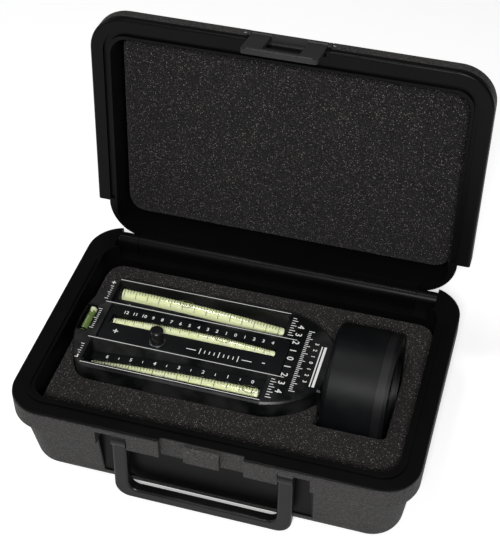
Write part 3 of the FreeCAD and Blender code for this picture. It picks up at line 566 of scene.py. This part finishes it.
def slab(name, loop, low, high):
    block = Ribbons()
    block.prism(loop, low, high)
    mesh = bpy.data.meshes.new(name)
    mesh.from_pydata([[c * MM for c in v] for v in block.verts], [], block.faces)
    mesh.update()
    return link(name, mesh)


def foam_mesh(name, block, cutters, voxel, crown, wobble):
    """The block less its cutters, remeshed so that its edges turn soft, then made uneven."""
    for cutter in cutters:
        cut = block.modifiers.new("cut", "BOOLEAN")
        cut.operation = "DIFFERENCE"
        cut.solver = "EXACT"
        cut.object = cutter
    remesh = block.modifiers.new("remesh", "REMESH")
    remesh.mode = "VOXEL"
    remesh.voxel_size = voxel * MM
    remesh.use_smooth_shade = True
    ease = block.modifiers.new("ease", "SMOOTH")
    ease.iterations = 3
    ease.factor = 0.5
    bpy.context.view_layer.update()
    mesh = evaluated_copy(block)
    mesh.name = name
    for piece in [block] + cutters:
        bpy.data.objects.remove(piece)
    normals = [v.normal.copy() for v in mesh.vertices]
    for vertex, normal in zip(mesh.vertices, normals):
        p = vertex.co
        soft = noise.noise(p * 28.0) * 0.6 + noise.noise(p * 90.0) * 0.4
        vertex.co = p + normal * (crown(p / MM) + wobble * soft) * MM
    mesh.shade_smooth()
    return mesh


FOAM_SKIN = 0.3
POCKET_SLACK = 0.75
CUP_SLACK = 0.9
MAGNET_ROOM = 2.4


def make_base_foam(material):
    """Foam block cut for the gauge, its lips rounded and its top a little pressed down along its outer
    edges.
    """
    half = FOAM_HALF_L - FOAM_SKIN
    outline = rounded_loop(-half, half, FOAM_FRONT + FOAM_SKIN, FOAM_BACK - FOAM_SKIN, FOAM_CORNER - 0.1)
    block = slab("foam_block", outline, FOAM_LOW + 0.25, FOAM - 0.1)
    body = slab("foam_cut_body", gauge_loop(POCKET_SLACK), BODY_LOW - 0.7, FOAM + 5)
    reach = ADAPTER_R + CUP_SLACK
    room = rounded_loop(BODY_END - CUP_SLACK, ADAPTER_RIGHT + MAGNET_ROOM,
                        GAUGE_Y - reach, GAUGE_Y + reach, 1.5)
    cup = slab("foam_cut_cup", room, AXIS_Z - ADAPTER_R - 0.6, FOAM + 5)

    def crown(p):
        if p.z < FOAM - 1.5:
            return -0.05
        edge = min(FOAM_HALF_L - 0.2 - abs(p.x), p.y - FOAM_FRONT - 0.2, FOAM_BACK - 0.1 - p.y)
        return -0.35 * max(0.0, 1 - edge / 5.0) ** 2 - 0.05

    mesh = foam_mesh("foam_insert", block, [body, cup], 1.3, crown, 0.16)
    foam = link("foam_insert", mesh)
    mesh.materials.clear()
    mesh.materials.append(material)
    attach(foam, "case_base")
    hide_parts("base_foam")
    return foam


def lid_print_cutter():
    """The room that the adapter's top presses into the lid's sheet."""
    r = ADAPTER_R + 1.4
    turns = [2 * math.pi * i / 96 for i in range(96)]
    cutter = Ribbons()
    cutter.prism([(GAUGE_Y + r * math.cos(t), AXIS_Z + r * math.sin(t)) for t in turns], 52.5, 91.5)
    cutter.mapped(lambda a, b, c: (c, a, b))
    mesh = bpy.data.meshes.new("foam_cut_print")
    mesh.from_pydata([[c * MM for c in v] for v in cutter.verts], [], cutter.faces)
    mesh.update()
    return link("foam_cut_print", mesh)


def make_lid_foam(material):
    """Flat sheet glued in the lid, with the print that the adapter leaves in it."""
    half = FOAM_HALF_L - FOAM_SKIN
    wide = -FOAM_FRONT - FOAM_SKIN
    outline = rounded_loop(-half, half, -wide, wide, FOAM_CORNER - 0.1)
    block = slab("foam_sheet", outline, LID_FOAM_LOW + 0.1, LID_FOAM_TOP - 0.1)

    def crown(p):
        edge = min(FOAM_HALF_L - 0.2 - abs(p.x), -FOAM_FRONT - 0.2 - abs(p.y))
        return -0.5 * max(0.0, 1 - edge / 6.0) ** 2 if p.z < LID_FOAM_LOW + 1.5 else -0.05

    mesh = foam_mesh("foam_lid_sheet", block, [lid_print_cutter()], 1.3, crown, 0.14)
    for vertex in mesh.vertices:
        vertex.co = Vector(lid_place(vertex.co / MM)) * MM
    mesh.update()
    foam = link("foam_lid_sheet", mesh)
    mesh.materials.clear()
    mesh.materials.append(material)
    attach(foam, "lid")
    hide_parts("lid_foam")
    return foam


# Vial marks and figures

class Arc:
    """A vial's axis: a circle in the XZ plane below its crown."""

    def __init__(self, crown_x, crown_z, y, radius, tube_r):
        self.crown_x = crown_x
        self.crown_z = crown_z
        self.y = y
        self.radius = radius
        self.tube_r = tube_r

    def place(self, x, across, up):
        """A point at x along the axis, across to +Y and up from the axis."""
        angle = math.asin((x - self.crown_x) / self.radius)
        r = self.radius + up
        return (self.crown_x + r * math.sin(angle), self.y + across,
                self.crown_z - self.radius + r * math.cos(angle))


REAR = Arc(WELL_LEFT + 2.5, FACE - 5.4, GAUGE_Y + CAMBER_V, 860.0, 4.75)
FRONT = Arc(WELL_RIGHT - 2.5, FACE - 5.4, GAUGE_Y - CAMBER_V, 860.0, 4.75)
CASTER = Arc(-33.0, FACE - CARRIER_DROP - 1.2, GAUGE_Y + CASTER_V, 494.0, 3.5)
BUBBLES = ((REAR, -45.0, 8.5, "gauge"), (FRONT, 11.5, 9.0, "gauge"), (CASTER, -14.0, 10.0, "carrier"))


def ring_marks(arc, places, width, material, name, body):
    """Hair lines round the upper side of a tube: (x, first angle, last angle) from straight up."""
    verts = []
    faces = []
    inner = arc.tube_r + 0.015
    outer = arc.tube_r + 0.05
    steps = 10
    for x, start, stop in places:
        k = len(verts)
        for i in range(steps + 1):
            t = math.radians(start + (stop - start) * i / steps)
            for r in (inner, outer):
                for dx in (-width / 2, width / 2):
                    verts.append(arc.place(x + dx, r * math.sin(t), r * math.cos(t)))
        for i in range(steps):
            a = k + 4 * i
            b = a + 4
            faces += [[a, a + 1, b + 1, b], [a + 2, b + 2, b + 3, a + 3], [a, b, b + 2, a + 2],
                      [a + 1, a + 3, b + 3, b + 1]]
        faces += [[k, k + 2, k + 3, k + 1]]
        e = k + 4 * steps
        faces += [[e, e + 1, e + 3, e + 2]]
    return piece_from(name, verts, faces, material, body)


def bubble_edge(arc, x, length, material, name, body):
    """Painted shade: a dark oval ring on the tube's upper side, standing in for the dark edge that the
    bubble's meniscus gives by bending light away.
    """
    verts = []
    faces = []
    steps = 40
    for i in range(steps):
        t = 2 * math.pi * i / steps
        for grow in (0.0, 0.38):
            across = math.radians(38) * math.sin(t) * (1 - 0.22 * grow)
            along = x + (length / 2 - grow) * math.cos(t)
            for r in (arc.tube_r + 0.06, arc.tube_r + 0.09):
                verts.append(arc.place(along, r * math.sin(across), r * math.cos(across)))
    for i in range(steps):
        a = 4 * i
        b = 4 * ((i + 1) % steps)
        faces += [[a, b, b + 1, a + 1], [a + 2, a + 3, b + 3, b + 2], [a, a + 2, b + 2, b],
                  [a + 1, b + 1, b + 3, a + 3]]
    return piece_from(name, verts, faces, material, body)


def strip_marks(arc, surface_up, figures, size, across, name, body, material, ticks=()):
    """Figures and ticks printed on the curved top of a bed or plate."""
    r = Ribbons()
    for x, body_text in figures:
        def place(u, v, w, x=x):
            return arc.place(x + u, across + v, surface_up + 0.05 + w)
        add_text(r, body_text, size, place)
    for x, a, b, width in ticks:
        k = len(r.verts)
        r.line((x, a), (x, b), width, surface_up + 0.01, surface_up + 0.09)
        r.verts[k:] = [arc.place(*v) for v in r.verts[k:]]
    return piece_from(name, r.verts, r.faces, material, body)


def make_vial_marks(m):
    rear = []
    front = []
    for i in range(53):
        x = -84.0 + i * 1.875
        rear.append((x, -58 if i % 4 == 0 else -22, 66))
        front.append((x, -40 if i % 4 == 0 else -12, 62))
    ring_marks(REAR, rear, 0.30, m["dark_ink"], "camber_marks_rear", "gauge")
    ring_marks(FRONT, front, 0.30, m["dark_ink"], "camber_marks_front", "gauge")
    middle = []
    for i in range(67):
        middle.append((-80.5 + i * 1.4375, -40 if i % 4 == 0 else -15, 70))
    ring_marks(CASTER, middle, 0.28, m["dark_ink"], "caster_marks", "carrier")
    # Each bubble gets a painted dark ring, shade standing in for its refracting edge.
    for arc, x, length, body in BUBBLES:
        bubble_edge(arc, x, length, m["bubble"], "bubble_edge_" + str(int(abs(x))), body)


def make_camber_figures(m):
    """Plain whole figures beside each camber tube, with a tick for every half."""
    sink = 0.6
    step = 15.0
    first = -79.0
    for arc, name, v, values, ticks in (
            (REAR, "camber_figures_rear", -8.6, range(7), (-9.6, -8.2)),
            (FRONT, "camber_figures_front", 8.6, range(6, -1, -1), (7.6, 9.2))):
        figures = [(first + step * i, str(value)) for i, value in enumerate(values)]
        halves = [(first + step * (i + 0.5), ticks[0], ticks[1], 0.35) for i in range(6)]
        strip_marks(arc, sink, figures, 3.4, v, name, "gauge", m["white"], halves)


def along(x, y, height):
    """Places figures that read along X."""
    return lambda u, v, w: (x + u, y + v, height + 0.05 + w)


def across_neck(x, y):
    """Places figures on the face that read from the hinge side to the front."""
    return lambda u, v, w: (x + v, y - u, FACE + 0.05 + w)


def make_caster_figures(m):
    """Figures, signs and a zero scale on the tilting carrier."""
    plate = Ribbons()
    top = FACE - CARRIER_DROP
    low, high = top + 0.01, top + 0.07
    scale_y = GAUGE_Y - 8.0
    for i, value in enumerate(range(12, -5, -1)):
        add_text(plate, str(abs(value)), 3.3, along(-77.0 + 5.75 * i, GAUGE_Y + 9.9, top))
    for x, sign in ((-78.0, "+"), (14.0, "-")):
        add_text(plate, sign, 6.5, along(x, GAUGE_Y - 6.5, top))
    for x0, x1 in ((-33.0, -27.0), (1.0, 7.0)):
        plate.line((x0, scale_y), (x1, scale_y), 0.5, low, high)
    for i in range(9):
        x = -24.5 + 2.9 * i
        reach = 2.2 if i % 4 == 0 else 1.2
        plate.line((x, scale_y - reach), (x, scale_y + reach), 0.5, low, high)
    piece_from("caster_figures", plate.verts, plate.faces, m["white"], "carrier")


def make_latch_lugs(m):
    """Two cheeks of the lid that close the latch's pocket beside its barrel."""
    y, z = LATCH_PIVOT_CLOSED
    outline = [(-76.4, 57.5), (-80.0, 57.5), (-81.3, 63.0)]
    for t in range(0, 91, 15):
        turn = math.radians(t)
        outline.append((y - LATCH_BARREL_R * math.cos(turn), z + LATCH_BARREL_R * math.sin(turn)))
    outline.append((-76.4, 67.2))
    for side, name in ((-1, "latch_lug_left"), (1, "latch_lug_right")):
        lug = Ribbons()
        lug.prism(outline, 22.35, 24.28)
        lug.mapped(lambda a, b, c, side=side: lid_place((side * c, a, b)))
        if side < 0:
            lug.faces = [list(reversed(f)) for f in lug.faces]
        piece_from(name, lug.verts, lug.faces, m["case_lid"], "lid")


def print_end_scales(r, low, high):
    """Signs and short combs at both ends of the wells, and a comb by the cross level."""
    x_end = WELL_LEFT - 2.1
    for side, sign in ((1, "+"), (-1, "-")):
        y = GAUGE_Y + side * 31.5
        add_text(r, sign, 5.5, lambda u, v, w, y=y: (x_end - 1.0 - v, y + u, FACE + 0.05 + w))
    for side in (1, -1):
        y = GAUGE_Y + side * 25.0
        for i in range(7):
            reach = 2.2 if i % 3 == 0 else 1.3
            tick_y = y - 7.5 + 1.8 * i
            r.line((x_end, tick_y), (x_end - reach, tick_y), 0.4, low, high)
        for i in range(8):
            reach = 3.4 if i % 2 == 0 else 2.2
            tick_y = y - 7 + 2 * i
            r.line((21.8, tick_y), (21.8 + reach, tick_y), 0.45, low, high)
    for i in range(11):
        reach = 2.4 if i % 5 == 0 else 1.4
        tick_y = GAUGE_Y - 8 + 1.6 * i
        r.line((x_end, tick_y), (x_end - reach, tick_y), 0.4, low, high)


def print_neck(r, low, high):
    """Rows of plain figures, a comb and a double rule across the shoulders and neck."""
    y0 = GAUGE_Y
    for i in range(9):
        add_text(r, str(abs(4 - i)), 5.6, across_neck(28.0, y0 + 26.0 - 6.5 * i))
    for i in range(33):
        reach = 3.6 if i % 4 == 0 else 2.0
        y = y0 + 24.0 - 1.5 * i
        r.line((33.5, y), (33.5 + reach, y), 0.42, low, high)
    for i in range(7):
        add_text(r, str(abs(3 - i)), 3.2, across_neck(40.6, y0 + 15.0 - 5.0 * i))
    for x, width in ((44.2, 0.7), (46.2, 1.5)):
        r.line((x, y0 - 18.0), (x, y0 + 14.0), width, low, high)


def make_face_print(m):
    """White rules beside the wells, end scales and the neck's figures."""
    r = Ribbons()
    low, high = FACE + 0.01, FACE + 0.07
    for x0, x1, v in ((WELL_LEFT, WELL_RIGHT, 35.2), (WELL_LEFT - 2.5, WELL_RIGHT + 9.0, 15.1)):
        for side in (1, -1):
            y = GAUGE_Y + side * v
            r.line((x0, y), (x1, y), 0.35, low, high)
    print_end_scales(r, low, high)
    print_neck(r, low, high)
    piece_from("face_print", r.verts, r.faces, m["white"], "gauge")


# Room

def make_floor():
    """Pale floor that looks near white to the camera and still takes the shadow."""
    mesh = bpy.data.meshes.new("floor")
    size = 6.0
    corners = [(-size, -size, 0), (size, -size, 0), (size, size, 0), (-size, size, 0)]
    mesh.from_pydata(corners, [], [(0, 1, 2, 3)])
    floor = link("floor", mesh)
    material = bpy.data.materials.new("floor")
    material.use_nodes = True
    tree = material.node_tree
    bsdf = tree.nodes["Principled BSDF"]
    bsdf.inputs["Base Color"].default_value = (0.90, 0.90, 0.90, 1)
    bsdf.inputs["Roughness"].default_value = 0.9
    bsdf.inputs["Specular IOR Level"].default_value = 0.1
    bsdf.inputs["Emission Color"].default_value = (1, 1, 1, 1)
    path = tree.nodes.new("ShaderNodeLightPath")
    lift = tree.nodes.new("ShaderNodeMath")
    lift.operation = "MULTIPLY"
    lift.inputs[1].default_value = 0.42
    tree.links.new(path.outputs["Is Camera Ray"], lift.inputs[0])
    tree.links.new(lift.outputs[0], bsdf.inputs["Emission Strength"])
    mesh.materials.append(material)


def make_world():
    """White behind the part, and dim for all that it lights or shows in a reflection."""
    world = bpy.data.worlds.new("room")
    bpy.context.scene.world = world
    world.use_nodes = True
    tree = world.node_tree
    background = tree.nodes["Background"]
    background.inputs["Color"].default_value = (1, 1, 1, 1)
    path = tree.nodes.new("ShaderNodeLightPath")
    seen = tree.nodes.new("ShaderNodeMath")
    seen.operation = "MAXIMUM"
    tree.links.new(path.outputs["Is Camera Ray"], seen.inputs[0])
    tree.links.new(path.outputs["Is Transmission Ray"], seen.inputs[1])
    level = tree.nodes.new("ShaderNodeMapRange")
    level.inputs["To Min"].default_value = 0.11
    level.inputs["To Max"].default_value = 1.0
    tree.links.new(seen.outputs[0], level.inputs["Value"])
    tree.links.new(level.outputs["Result"], background.inputs["Strength"])


def make_lamp(name, place, aim, size, power, color=(1, 1, 1)):
    data = bpy.data.lights.new(name, "AREA")
    data.shape = "RECTANGLE"
    data.size, data.size_y = size
    data.energy = power
    data.color = color
    lamp = bpy.data.objects.new(name, data)
    lamp.location = place
    way = Vector(aim) - Vector(place)
    lamp.rotation_euler = way.to_track_quat("-Z", "Y").to_euler()
    bpy.context.scene.collection.objects.link(lamp)


def make_lamps():
    make_lamp("lamp_key", (0.25, -1.10, 1.15), (0, 0, 0.05), (0.30, 0.20), 19)
    make_lamp("lamp_top", (-0.20, 0.10, 1.5), (0, 0, 0), (0.35, 0.25), 4)
    make_lamp("lamp_left", (-1.3, -0.3, 0.7), (0, 0, 0.05), (0.35, 0.35), 3)


def main():
    scene = bpy.context.scene
    scene.view_settings.view_transform = "Standard"
    make_camera()
    make_floor()
    make_world()
    make_lamps()
    m = make_materials()
    make_base_foam(m["foam_base"])
    make_lid_foam(m["foam_lid"])
    make_vial_marks(m)
    make_camber_figures(m)
    make_caster_figures(m)
    make_face_print(m)
    make_latch_lugs(m)


main()
